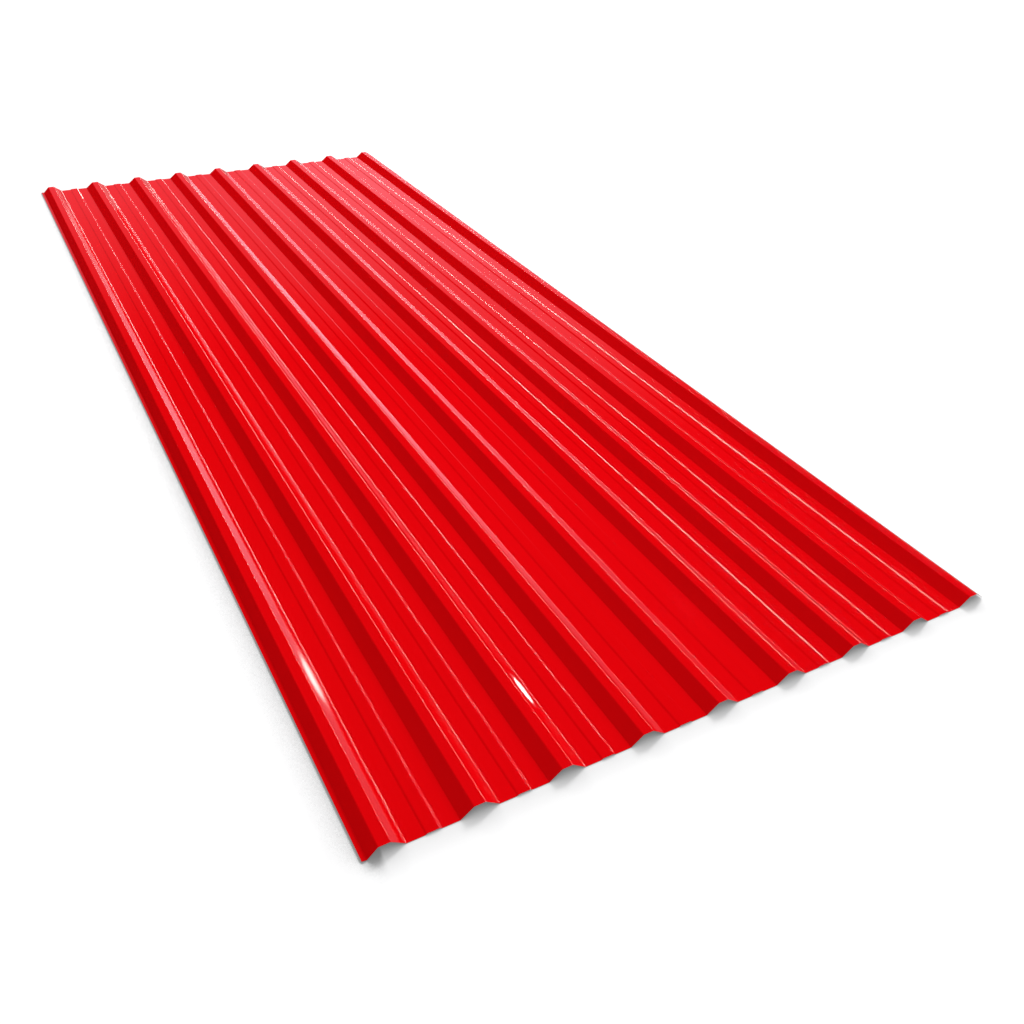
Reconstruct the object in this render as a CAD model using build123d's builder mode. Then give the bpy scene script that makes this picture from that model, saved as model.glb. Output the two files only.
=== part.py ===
"""A sheet of painted steel, rolled into shallow trapezoidal crests for roofs and walls.

The sheet lies on its pans. X runs across it, Y along its crests and Z up, and the origin is on the
floor under the middle of the sheet. Sizes are in millimetres.
"""

from build123d import *

import os

# the rolled steel
length = 3000.0
thickness = 0.5
bend_radius = 3.0

# the crests: the depth is the rise of the metal from a pan to a crest
crest_count = 9
pitch = 137.5
depth = 16.0
crest_width = 17.0
web_run = 21.0

# the low stiffening bead along the middle of each pan
bead_width = 18.0
bead_run = 3.0
bead_height = 2.0

# the first crest's outer web is steeper and ends in a narrow lip, which lies under the next sheet
lap_web_run = 17.0
lip_width = 7.0
lip_rise = 1.4

# the last crest's outer web stops short of the floor, so that it can lie over the next sheet
last_web_run = 19.0


def raised(middle, flat, run, height):
    """The four corners of a raised trapezium: foot, top, top and foot."""
    return [
        (middle - flat / 2 - run, 0),
        (middle - flat / 2, height),
        (middle + flat / 2, height),
        (middle + flat / 2 + run, 0),
    ]


# the corners of the metal's middle line, from the lip's edge to the last web's edge
first_crest = -(crest_count - 1) * pitch / 2
corners = []
for crest in range(crest_count):
    crest_middle = first_crest + crest * pitch
    corners += raised(crest_middle, crest_width, web_run, depth)
    if crest < crest_count - 1:
        corners += raised(crest_middle + pitch / 2, bead_width, bead_run, bead_height)

# the first web goes down to the floor, and the lip rises a little outwards from its foot
lap_foot = corners[1][0] - lap_web_run
first_edge = lap_foot - lip_width
corners[0:1] = [(first_edge, lip_rise), (lap_foot, 0)]

# the last web keeps its slope up to the cut
last_edge = corners[-2][0] + last_web_run
corners[-1] = (last_edge, depth - depth * last_web_run / web_run)

# the middle of the width comes to X 0, and the pans' underside to Z 0
middle_of_width = (first_edge + last_edge) / 2
corners = [(x - middle_of_width, z + thickness / 2) for x, z in corners]

with BuildPart() as profiled_sheet:
    with BuildSketch(Plane.XZ) as section:
        with BuildLine():
            middle_line = FilletPolyline(*corners, radius=bend_radius)
        trace(line_width=thickness)
    extrude(amount=length / 2, both=True)

profiled_sheet.part.label = "profiled_sheet"
os.makedirs("parts", exist_ok=True)
export_step(profiled_sheet.part, "parts/profiled_sheet.step")
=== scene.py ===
"""Looks of a rolled steel sheet: glossy red paint on top, grey backing coat below, bare cut edges."""

import math

import bpy
from mathutils import Matrix, Vector

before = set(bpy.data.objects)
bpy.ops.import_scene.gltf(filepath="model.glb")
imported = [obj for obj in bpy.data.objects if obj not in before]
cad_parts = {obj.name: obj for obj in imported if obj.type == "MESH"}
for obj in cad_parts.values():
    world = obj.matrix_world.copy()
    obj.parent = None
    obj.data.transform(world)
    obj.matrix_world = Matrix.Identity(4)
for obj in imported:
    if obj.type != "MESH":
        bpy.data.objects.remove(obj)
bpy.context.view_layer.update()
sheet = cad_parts["profiled_sheet"]

# the rolled section, in metres
PITCH = 0.1375
MIDDLE_CREST = 0.0025
DEPTH = 0.016
WEB_RUN = 0.021
WEB_ANGLE = math.atan(DEPTH / WEB_RUN)

# bends, as places between two crests in parts of the pitch
BEAD_LEFT = (0.40, 0.45)
BEAD_RIGHT = (0.55, 0.60)
WEB_FOOT = (0.192, 0.238)
BEND_SOFT = 0.005
FOOT_SOFT = 0.001

# how far a bead's bend is softened, and between which X the right one goes from none to all of it
SOFT_LEFT = 0.85
SOFT_RIGHT = 0.8
SOFT_RIGHT_FROM = (-0.40, 0.0)

# the right feet of the first three crests have wider bends: they end between these two X
WIDE_FEET_END = (-0.15, -0.20)

# a face's normal: its Z where the face begins to count as weather face, and its X where as a web
FACING = (0.64, 0.70)
SLOPING = (0.25, 0.55)

# rolling leaves slow waves across a web, ripples everywhere and fine lines along the crests: the range
# over which each tilts the surface, and its features per metre along X, Y and Z
WAVE = 0.015
WAVE_SIZE = (9.0, 1.3, 0.0)
RIPPLE = 0.006
RIPPLE_ACROSS = (14.0, 6.0, 0.0)
RIPPLE_ALONG = (12.0, 5.0, 3.0)
LINE = 0.012
LINE_SIZE = (110.0, 0.35, 0.0)

# places where a crest's right web lies a little flatter: the place in metres, the half width and
# half length that it fades over, and the tilt in degrees
FLATTER = (
    (-0.529, 0.000, 0.022, 3.000, 1.6),
    (-0.528, -1.150, 0.013, 0.120, 1.1),
    (-0.530, -1.035, 0.006, 0.018, 0.55),
    (-0.253, -1.328, 0.011, 0.080, 10.1),
)

# the paint on top, the coat on the back and the bare cut edge
RED = (0.80, 0.001, 0.0035, 1)
DEEP_RED = (0.77, 0.001, 0.003, 1)
BACKING = (0.78, 0.78, 0.77, 1)
PALE_BACKING = (0.83, 0.83, 0.82, 1)
BARE = (0.75, 0.74, 0.72, 1)
TOP_ROUGHNESS = (0.03, 0.05)
BACK_ROUGHNESS = 0.5
EDGE_ROUGHNESS = 0.4
PAINT_IOR = 1.5

# colour clouds, rolled streaks and orange peel: features per metre, the noise's detail, and the part of
# its range that it fades over
CLOUD_SIZE = (3.0, 0.6, 1.0)
CLOUD_DETAIL = 3.0
CLOUD_RANGE = (0.3, 0.7)
STREAK_SIZE = (420.0, 0.8, 40.0)
STREAK_RANGE = (0.25, 0.75)
PEEL_SIZE = (260.0, 200.0, 260.0)
PEEL_DETAIL = 1.0

# the skin's relief, half of it from the peel and half from the streaks
SKIN_SHARE = 0.5
SKIN_STRENGTH = 0.04
SKIN_DEPTH = 0.00004

# the floor, which lies a little below the sheet
FLOOR_HALF = 30.0
FLOOR_DROP = 0.0003
FLOOR_WHITE = 0.93

# its painted shadow, which darkens the floor's colour by the sheet's occlusion: how far from the sheet it
# reaches, its darkest level, and its depth beside the left and the right edge, which each fade in between
# two X
SHADOW_REACH = 0.065
SHADOW_SAMPLES = 8
SHADOW_DARKEST = 0.4
SHADOW_LEFT = 6.5
SHADOW_RIGHT = 0.5
LEFT_EDGE = (-0.55, -0.57)
RIGHT_EDGE = (0.59, 0.56)

# the fainter painted shadow before the near edge, darkened into the floor's colour by place: its depth, the
# two Y that it fades in between, and its width
PAINTED_NEAR_SHADOW = 0.16
NEAR_EDGE = (-1.56, -1.50)
NEAR_HALF = 0.57
NEAR_SOFT = 0.02

# the floor's level in the paint, and to the camera: lit part, own glow, and where the glow grows
MIRRORED_FLOOR = 0.25
LIT_FLOOR = 0.72
FLOOR_GLOW = (0.42, 0.9)
FLOOR_GLOW_AWAY = (1.0, 5.0)

# the studio, in degrees: azimuth 0 stands at +Y, along the crests, and 90 at +X
WHITE = (1, 1, 1, 1)
COOL = (0.83, 0.83, 1, 1)
WARM = (1, 0.95, 0.85, 1)
DARK = 0.005
HORIZON = (0, 4)

# its cool glow: the azimuths where it begins, rises from the back's level to all of it and dims to the
# right's level, the elevation up to which it is full, and the top that it fades out to
GLOW = 1.38
GLOW_BEGINS = (-4, 3)
GLOW_RISES = (8, 28)
GLOW_AT_BACK = 0.18
GLOW_DIMS = (54, 28)
GLOW_AT_RIGHT = 0.3
GLOW_FULL = 11
GLOW_TOP = (26, 31)
GLOW_TOP_RISES = (18, 34)

# bands along the crests, far away: the angles above the floor that a band lies between, as seen along
# the crests, and how soft its limits are. A bend mirrors such a band as one fine line
BRIGHTER_BAND = (14.8, 17, 0.3)
BRIGHTER = 0.5
DARK_BAND = (8.8, 13.0, 0.4)
DARKER = 0.9
DIM_BAND = (30.5, 33.8, 0.5)
DIMMER = 0.5

# the warm strips, which only show in the paint: band, levels, and azimuths between which they rise
LOW_STRIP = (6.5, 8.4, 0.3)
LOW_LEVEL = (8, 14)
LOW_RISES = (36, 42)
HIGH_STRIP = (36.2, 37.9, 0.2)
HIGH_LEVEL = (16, 40)
HIGH_RISES = (14, 40)
STRIPS_BEGIN = (2, 16)
STRIPS_END = (72, 64)

# a faint skyline at the back, and a low glow in the west
SKYLINE = (4.9, 7.5, 0.3)
SKYLINE_BEGINS = (-1, 8)
SKYLINE_ENDS = (22, 12)
SKYLINE_REST = 0.1
WEST_GLOW = 0.5
WEST_BEGINS = (-75, -105)
WEST_TOP = (34, 6)

# the photograph's view: the picture's side, focal length and principal point in pixels, the place in
# metres, and the turn, dip and lean in radians
PICTURE = 1024
FOCAL = 1003.8
PRINCIPAL = (572.5, 539.6)
SENSOR = 36
CAMERA_PLACE = (-0.78132, -2.3092, 1.1135)
YAW = 0.5525
DIP = 0.6313
LEAN = 0.0458
FARTHEST = 100


class Graph:
    """A material's or world's node tree, with short ways to add and link nodes."""

    def __init__(self, tree):
        self.tree = tree
        tree.nodes.clear()

    def feed(self, socket, value):
        """Links an output socket to an input, or sets the input to a value."""
        if isinstance(value, bpy.types.NodeSocket):
            self.tree.links.new(value, socket)
        else:
            socket.default_value = value

    def add(self, kind, inputs=None, **settings):
        """Adds a node. Inputs are values or the output sockets that feed them."""
        node = self.tree.nodes.new(kind)
        for name, value in settings.items():
            setattr(node, name, value)
        for key, value in (inputs or {}).items():
            self.feed(node.inputs[key], value)
        return node

    def math(self, operation, a, b=0.0):
        return self.add("ShaderNodeMath", {0: a, 1: b}, operation=operation).outputs[0]

    def total(self, first, *values):
        """The sum of numbers and values."""
        for value in values:
            first = self.math("ADD", first, value)
        return first

    def scale(self, factor, *values):
        """The product of numbers and values."""
        for value in values:
            factor = self.math("MULTIPLY", factor, value)
        return factor

    def fade(self, value, low, high, to_low=0.0, to_high=1.0):
        """A smooth step from to_low at low to to_high at high; low may be above high."""
        inputs = {"Value": value, "From Min": low, "From Max": high, "To Min": to_low, "To Max": to_high}
        return self.add("ShaderNodeMapRange", inputs, interpolation_type="SMOOTHSTEP").outputs[0]

    def band(self, value, low, high, soft):
        """One where the value lies between low and high, and zero beyond, with soft limits."""
        above = self.fade(value, low - soft, low + soft)
        below = self.fade(value, high + soft, high - soft)
        return self.math("MULTIPLY", above, below)

    def mix(self, factor, a, b):
        """A colour that goes from a to b as the factor goes from 0 to 1."""
        node = self.add("ShaderNodeMix", {0: factor, 6: a, 7: b}, data_type="RGBA")
        return node.outputs[2]

    def noise(self, place, scale, detail=2.0):
        """Smooth noise between 0 and 1, with one size along each axis, in features per metre."""
        spread = self.add("ShaderNodeMapping", {"Vector": place, "Scale": scale}).outputs[0]
        return self.add("ShaderNodeTexNoise", {"Vector": spread, "Scale": 1.0, "Detail": detail}).outputs[0]

    def swing(self, place, scale):
        """Smooth noise between minus one half and one half."""
        return self.math("SUBTRACT", self.noise(place, scale), 0.5)

    def split(self, vector):
        """The X, Y and Z of a vector."""
        return self.add("ShaderNodeSeparateXYZ", {0: vector}).outputs

    def join(self, x, y, z):
        """The vector with this X, Y and Z."""
        return self.add("ShaderNodeCombineXYZ", {"X": x, "Y": y, "Z": z}).outputs[0]

    def add_vectors(self, a, b):
        return self.add("ShaderNodeVectorMath", {0: a, 1: b}, operation="ADD").outputs[0]

    def scale_vector(self, vector, factor):
        return self.add("ShaderNodeVectorMath", {0: vector, 3: factor}, operation="SCALE").outputs[0]

    def object_place(self):
        """The place on the object, in metres."""
        return self.add("ShaderNodeTexCoord").outputs["Object"]


def new_material(name):
    material = bpy.data.materials.new(name)
    material.use_nodes = True
    return material, Graph(material.node_tree)


# the painted sheet

def bent_normal(g, x, normal):
    """The normal with softer bends on the pans' beads and wider ones at the first crests' right feet."""
    top = g.fade(g.split(normal)[2], *FACING)
    cell = g.math("FRACT", g.math("DIVIDE", g.math("SUBTRACT", x, MIDDLE_CREST), PITCH))

    left_side = g.scale(SOFT_LEFT, g.band(cell, *BEAD_LEFT, BEND_SOFT))
    right_amount = g.fade(x, *SOFT_RIGHT_FROM, 0.0, SOFT_RIGHT)
    right_side = g.scale(right_amount, g.band(cell, *BEAD_RIGHT, BEND_SOFT))
    softer = g.scale(top, g.total(left_side, right_side))
    normal = g.scale_vector(normal, g.math("SUBTRACT", 1.0, softer))
    normal = g.add_vectors(normal, g.join(0.0, 0.0, softer))

    foot_start, foot_end = WEB_FOOT
    angle = g.fade(cell, foot_end + FOOT_SOFT, foot_start - FOOT_SOFT, 0.0, WEB_ANGLE)
    bend = g.join(g.math("SINE", angle), 0.0, g.math("COSINE", angle))
    wide = g.scale(top, g.band(cell, foot_start, foot_end, FOOT_SOFT), g.fade(x, *WIDE_FEET_END))
    return g.mix(wide, normal, bend)


def rolled_normal(g, place, normal):
    """The surface's normal, with the slow waviness that rolling leaves, most of all across a web."""
    x, y, _ = g.split(place)
    on_web = g.fade(g.split(normal)[0], *SLOPING)
    across = g.total(
        g.scale(WAVE, g.swing(place, WAVE_SIZE), on_web),
        g.scale(RIPPLE, g.swing(place, RIPPLE_ACROSS)),
    )
    for middle_x, middle_y, half_x, half_y, tilt in FLATTER:
        dx = g.math("DIVIDE", g.math("SUBTRACT", x, middle_x), half_x)
        dy = g.math("DIVIDE", g.math("SUBTRACT", y, middle_y), half_y)
        near = g.fade(g.total(g.math("POWER", dx, 2), g.math("POWER", dy, 2)), 1.0, 0.0)
        across = g.math("SUBTRACT", across, g.scale(math.radians(tilt), near, on_web))
    along = g.total(
        g.scale(RIPPLE, g.swing(place, RIPPLE_ALONG)),
        g.scale(LINE, g.swing(place, LINE_SIZE)),
    )
    tilted = g.add_vectors(bent_normal(g, x, normal), g.join(across, along, 0.0))
    return g.add("ShaderNodeVectorMath", {0: tilted}, operation="NORMALIZE").outputs[0]


def painted_steel():
    material, g = new_material("painted_steel")
    place = g.object_place()
    geometry = g.add("ShaderNodeNewGeometry").outputs
    up = g.split(geometry["True Normal"])[2]
    is_top = g.fade(up, *FACING)
    is_back = g.fade(up, *(-limit for limit in FACING))
    is_edge = g.math("SUBTRACT", 1.0, g.total(is_top, is_back))

    # the coating's depth varies a little along the coil, and the rolls leave fine lines along it
    cloud = g.fade(g.noise(place, CLOUD_SIZE, CLOUD_DETAIL), *CLOUD_RANGE)
    streak = g.noise(place, STREAK_SIZE)
    red = g.mix(cloud, DEEP_RED, RED)
    backing = g.mix(cloud, BACKING, PALE_BACKING)
    colour = g.mix(is_edge, g.mix(is_back, red, backing), BARE)
    roughness = g.fade(streak, *STREAK_RANGE, *TOP_ROUGHNESS)
    roughness = g.math("MAXIMUM", roughness, g.scale(BACK_ROUGHNESS, is_back))
    roughness = g.math("MAXIMUM", roughness, g.scale(EDGE_ROUGHNESS, is_edge))

    peel = g.noise(place, PEEL_SIZE, PEEL_DETAIL)
    skin = g.add("ShaderNodeBump", {
        "Height": g.total(g.scale(SKIN_SHARE, peel), g.scale(SKIN_SHARE, streak)),
        "Normal": rolled_normal(g, place, geometry["Normal"]),
        "Strength": SKIN_STRENGTH,
        "Distance": SKIN_DEPTH,
    })
    paint = g.add("ShaderNodeBsdfPrincipled", {
        "Base Color": colour,
        "Roughness": roughness,
        "Metallic": is_edge,
        "IOR": PAINT_IOR,
        "Normal": skin.outputs[0],
    })
    g.add("ShaderNodeOutputMaterial", {"Surface": paint.outputs[0]})
    return material


sheet.data.materials.clear()
sheet.data.materials.append(painted_steel())


# floor

def pale_floor():
    """A white floor with a soft painted shadow beside the sheet, which also glows by itself to the camera.
    """
    material, g = new_material("pale_floor")
    path = g.add("ShaderNodeLightPath").outputs
    seen = path["Is Camera Ray"]
    mirrored = path["Is Glossy Ray"]
    place = g.object_place()
    east, north, _ = g.split(place)
    away = g.add("ShaderNodeVectorMath", {0: place}, operation="LENGTH").outputs["Value"]

    # the painted shadow darkens the floor's colour: by occlusion, deepest beside the left edge, and by
    # place, faint before the near one
    painted_shadow_ao = g.add("ShaderNodeAmbientOcclusion", {"Distance": SHADOW_REACH}, samples=SHADOW_SAMPLES)
    left = g.fade(east, *LEFT_EDGE, 0.0, SHADOW_LEFT)
    right = g.fade(east, *RIGHT_EDGE, 0.0, SHADOW_RIGHT)
    level = g.math("POWER", painted_shadow_ao.outputs["AO"], g.total(left, right))
    level = g.math("MAXIMUM", level, SHADOW_DARKEST)
    before = g.band(east, -NEAR_HALF, NEAR_HALF, NEAR_SOFT)
    before = g.scale(PAINTED_NEAR_SHADOW, g.fade(north, *NEAR_EDGE), before)
    level = g.scale(level, g.fade(mirrored, 0, 1, 1.0, MIRRORED_FLOOR), g.math("SUBTRACT", 1.0, before))

    shade = g.scale(level, g.fade(seen, 0, 1, 1.0, LIT_FLOOR))
    shade = g.scale_vector((FLOOR_WHITE, FLOOR_WHITE, FLOOR_WHITE), shade)
    light = g.scale(level, seen, g.fade(away, *FLOOR_GLOW_AWAY, *FLOOR_GLOW))
    paint = g.add("ShaderNodeBsdfDiffuse", {"Color": shade})
    glow_colour = (FLOOR_WHITE, FLOOR_WHITE, FLOOR_WHITE, 1)
    glow = g.add("ShaderNodeEmission", {"Color": glow_colour, "Strength": light})
    both = g.add("ShaderNodeAddShader", {0: paint.outputs[0], 1: glow.outputs[0]})
    g.add("ShaderNodeOutputMaterial", {"Surface": both.outputs[0]})
    return material


def make_floor():
    mesh = bpy.data.meshes.new("studio_floor")
    turns = ((-1, -1), (1, -1), (1, 1), (-1, 1))
    corners = [(x * FLOOR_HALF, y * FLOOR_HALF, -FLOOR_DROP) for x, y in turns]
    mesh.from_pydata(corners, [], [(0, 1, 2, 3)])
    floor = bpy.data.objects.new("studio_floor", mesh)
    bpy.context.scene.collection.objects.link(floor)
    mesh.materials.append(pale_floor())


make_floor()


# world and lamps

def make_world():
    """A dark studio with a low glow from the back to the right, and strips along the crests."""
    world = bpy.data.worlds.new("studio")
    bpy.context.scene.world = world
    world.use_nodes = True
    g = Graph(world.node_tree)
    east, north, height = g.split(g.add("ShaderNodeTexCoord").outputs["Generated"])
    degrees = 180 / math.pi
    azimuth = g.scale(degrees, g.math("ARCTAN2", east, north))
    elevation = g.scale(degrees, g.math("ARCSINE", height))
    across = g.scale(degrees, g.math("ARCTAN2", height, east))
    path = g.add("ShaderNodeLightPath").outputs
    above_floor = g.fade(elevation, *HORIZON)

    rise = g.fade(azimuth, *GLOW_RISES, GLOW_AT_BACK, 1.0)
    glow = g.scale(GLOW, rise, g.fade(azimuth, *GLOW_BEGINS))
    top = g.fade(azimuth, *GLOW_TOP_RISES, *GLOW_TOP)
    fall = g.fade(azimuth, *GLOW_DIMS, GLOW_AT_RIGHT, 1.0)
    glow = g.scale(glow, fall, g.fade(elevation, top, GLOW_FULL), above_floor)
    dark = g.scale(DARKER, g.band(across, *DARK_BAND))
    dim = g.scale(DIMMER, g.band(across, *DIM_BAND))
    bright = g.scale(BRIGHTER, g.band(across, *BRIGHTER_BAND))
    glow = g.scale(glow, g.math("SUBTRACT", g.total(1.0, bright), g.total(dark, dim)))

    low = g.scale(g.fade(azimuth, *LOW_RISES, *LOW_LEVEL), g.band(across, *LOW_STRIP))
    high = g.scale(g.fade(azimuth, *HIGH_RISES, *HIGH_LEVEL), g.band(across, *HIGH_STRIP))
    strips = g.scale(g.total(low, high), g.fade(azimuth, *STRIPS_BEGIN), g.fade(azimuth, *STRIPS_END))
    skyline = g.scale(g.band(across, *SKYLINE), g.fade(azimuth, *SKYLINE_BEGINS))
    skyline = g.scale(skyline, g.fade(azimuth, *SKYLINE_ENDS, SKYLINE_REST))
    west = g.scale(WEST_GLOW, g.fade(azimuth, *WEST_BEGINS), g.fade(elevation, *WEST_TOP), above_floor)
    strips = g.scale(g.total(strips, skyline, west), path["Is Glossy Ray"])

    level = g.math("MAXIMUM", g.total(DARK, glow), path["Is Camera Ray"])
    cool = g.mix(path["Is Camera Ray"], COOL, WHITE)
    sky = g.add("ShaderNodeBackground", {"Color": cool, "Strength": level})
    lines = g.add("ShaderNodeBackground", {"Color": WARM, "Strength": strips})
    both = g.add("ShaderNodeAddShader", {0: sky.outputs[0], 1: lines.outputs[0]})
    g.add("ShaderNodeOutputWorld", {"Surface": both.outputs[0]})


def add_lamp(name, kind, **settings):
    """Adds a soft lamp, which lights the scene but doesn't show in the paint as a hard shape."""
    lamp = bpy.data.lights.new(name, kind)
    for key, value in settings.items():
        setattr(lamp, key, value)
    item = bpy.data.objects.new(name, lamp)
    item.visible_glossy = False
    bpy.context.scene.collection.objects.link(item)
    return item


def aim(item, towards):
    """Turns a lamp so that it shines against the vector that points towards it."""
    item.rotation_mode = "QUATERNION"
    item.rotation_quaternion = towards.to_track_quat("Z", "Y")


def sun(name, azimuth, elevation, spread, strength):
    """A soft lamp far away. Its azimuth, elevation and spread are in degrees; strength is in W/m2."""
    item = add_lamp(name, "SUN", angle=math.radians(spread), energy=strength)
    a = math.radians(azimuth)
    e = math.radians(elevation)
    aim(item, Vector((math.sin(a) * math.cos(e), math.cos(a) * math.cos(e), math.sin(e))))


def softbox(name, place, size, power):
    """A square lamp in metres, turned to the middle of the sheet; power is in W."""
    item = add_lamp(name, "AREA", shape="SQUARE", size=size, energy=power)
    item.location = place
    aim(item, Vector(place))


make_world()
sun("overhead", azimuth=0, elevation=90, spread=140, strength=math.pi * 0.50)
sun("fill", azimuth=270, elevation=35, spread=60, strength=math.pi * 0.05)
softbox("window", place=(5.0, 3.0, 4.3), size=2.2, power=500)
softbox("back", place=(-1.2, 3.5, 1.6), size=0.8, power=32)


# camera

def make_camera():
    """The photograph's view: its place, turn, tilt and lean come from the sheet's corners in it."""
    forward = Vector((math.sin(YAW) * math.cos(DIP), math.cos(YAW) * math.cos(DIP), -math.sin(DIP)))
    level = forward.cross(Vector((0, 0, 1))).normalized()
    upright = level.cross(forward)
    right = math.cos(LEAN) * level + math.sin(LEAN) * upright
    up = math.cos(LEAN) * upright - math.sin(LEAN) * level
    data = bpy.data.cameras.new("photo_camera")
    data.sensor_width = SENSOR
    data.lens = FOCAL * SENSOR / PICTURE
    data.shift_x = (PICTURE / 2 - PRINCIPAL[0]) / PICTURE
    data.shift_y = (PRINCIPAL[1] - PICTURE / 2) / PICTURE
    data.clip_end = FARTHEST
    camera = bpy.data.objects.new("photo_camera", data)
    axes = Matrix((right, up, -forward)).transposed().to_4x4()
    camera.matrix_world = Matrix.Translation(CAMERA_PLACE) @ axes
    bpy.context.scene.collection.objects.link(camera)
    bpy.context.scene.camera = camera


make_camera()
bpy.context.scene.view_settings.view_transform = "Standard"
